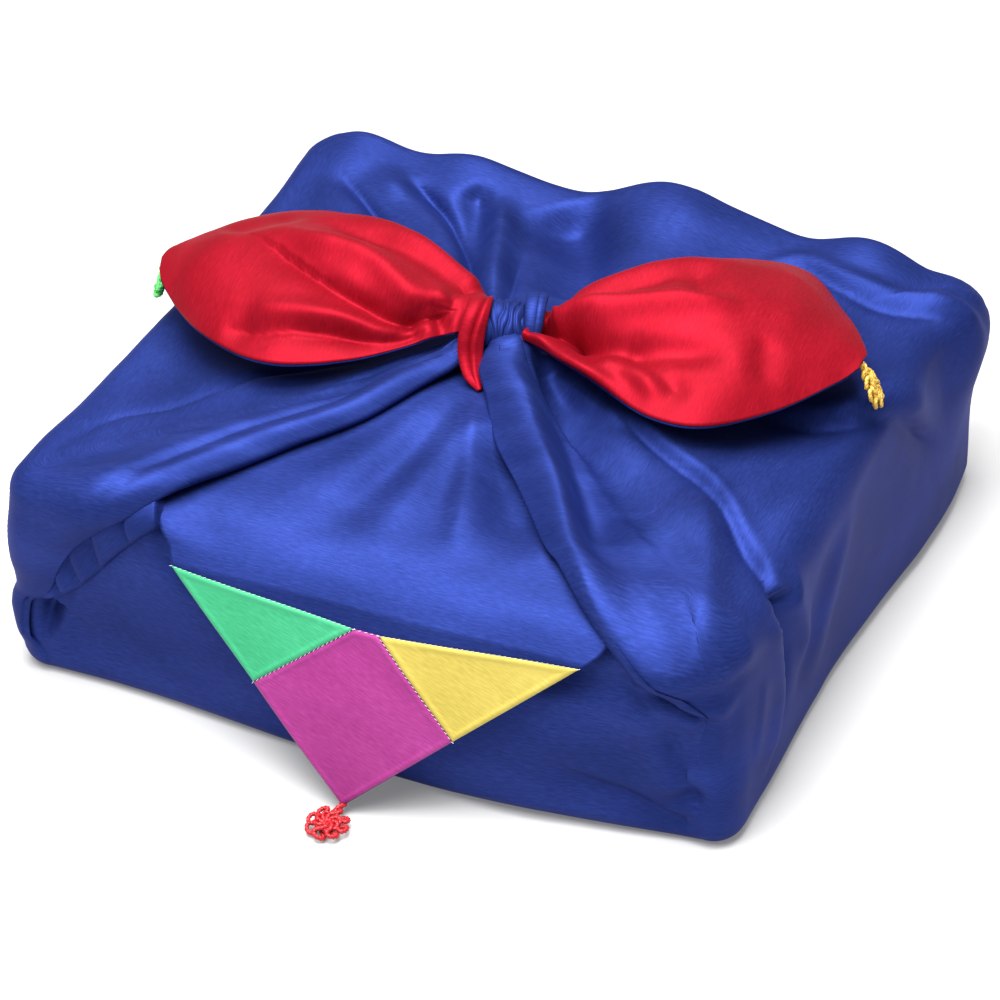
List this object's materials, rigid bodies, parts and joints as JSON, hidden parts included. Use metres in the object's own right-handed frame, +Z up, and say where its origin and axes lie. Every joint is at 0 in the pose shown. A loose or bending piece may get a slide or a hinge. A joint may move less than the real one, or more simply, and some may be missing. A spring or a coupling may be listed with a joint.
{
  "type": "bojagi wrapping cloth on a gift box",
  "caption": "Lined square wrapping cloth tied round a flat gift box, with spread lining tails, a hanging patchwork corner and tied cord knots.",
  "frame": {"origin": "on the surface that the bundle rests on, under the middle of the box", "axes": "+Z up; +X along the front wall, towards the tail with the yellow cord knot; -Y towards the front, where the patchwork corner hangs"},
  "size_m": [0.3968, 0.433, 0.1733],
  "materials": {
    "blue_satin": "royal blue satin weave with fine slubs",
    "red_satin": "bright red satin lining",
    "green_silk": "green silk taffeta",
    "magenta_silk": "magenta silk taffeta",
    "yellow_silk": "yellow silk taffeta",
    "red_cord": "red braided cord",
    "green_cord": "green braided cord",
    "yellow_cord": "yellow braided cord",
    "board": "plain paper-covered board"
  },
  "bodies": {
    "root": {"wrap": "blue_satin", "lining_left": "red_satin", "lining_right": "red_satin", "lining_band": "red_satin", "patch_green": "green_silk", "patch_magenta": "magenta_silk", "patch_yellow": "yellow_silk", "cord_knot_red": "red_cord", "cord_knot_green": "green_cord", "cord_knot_yellow": "yellow_cord", "gift_box": "board"}
  },
  "joints": []
}
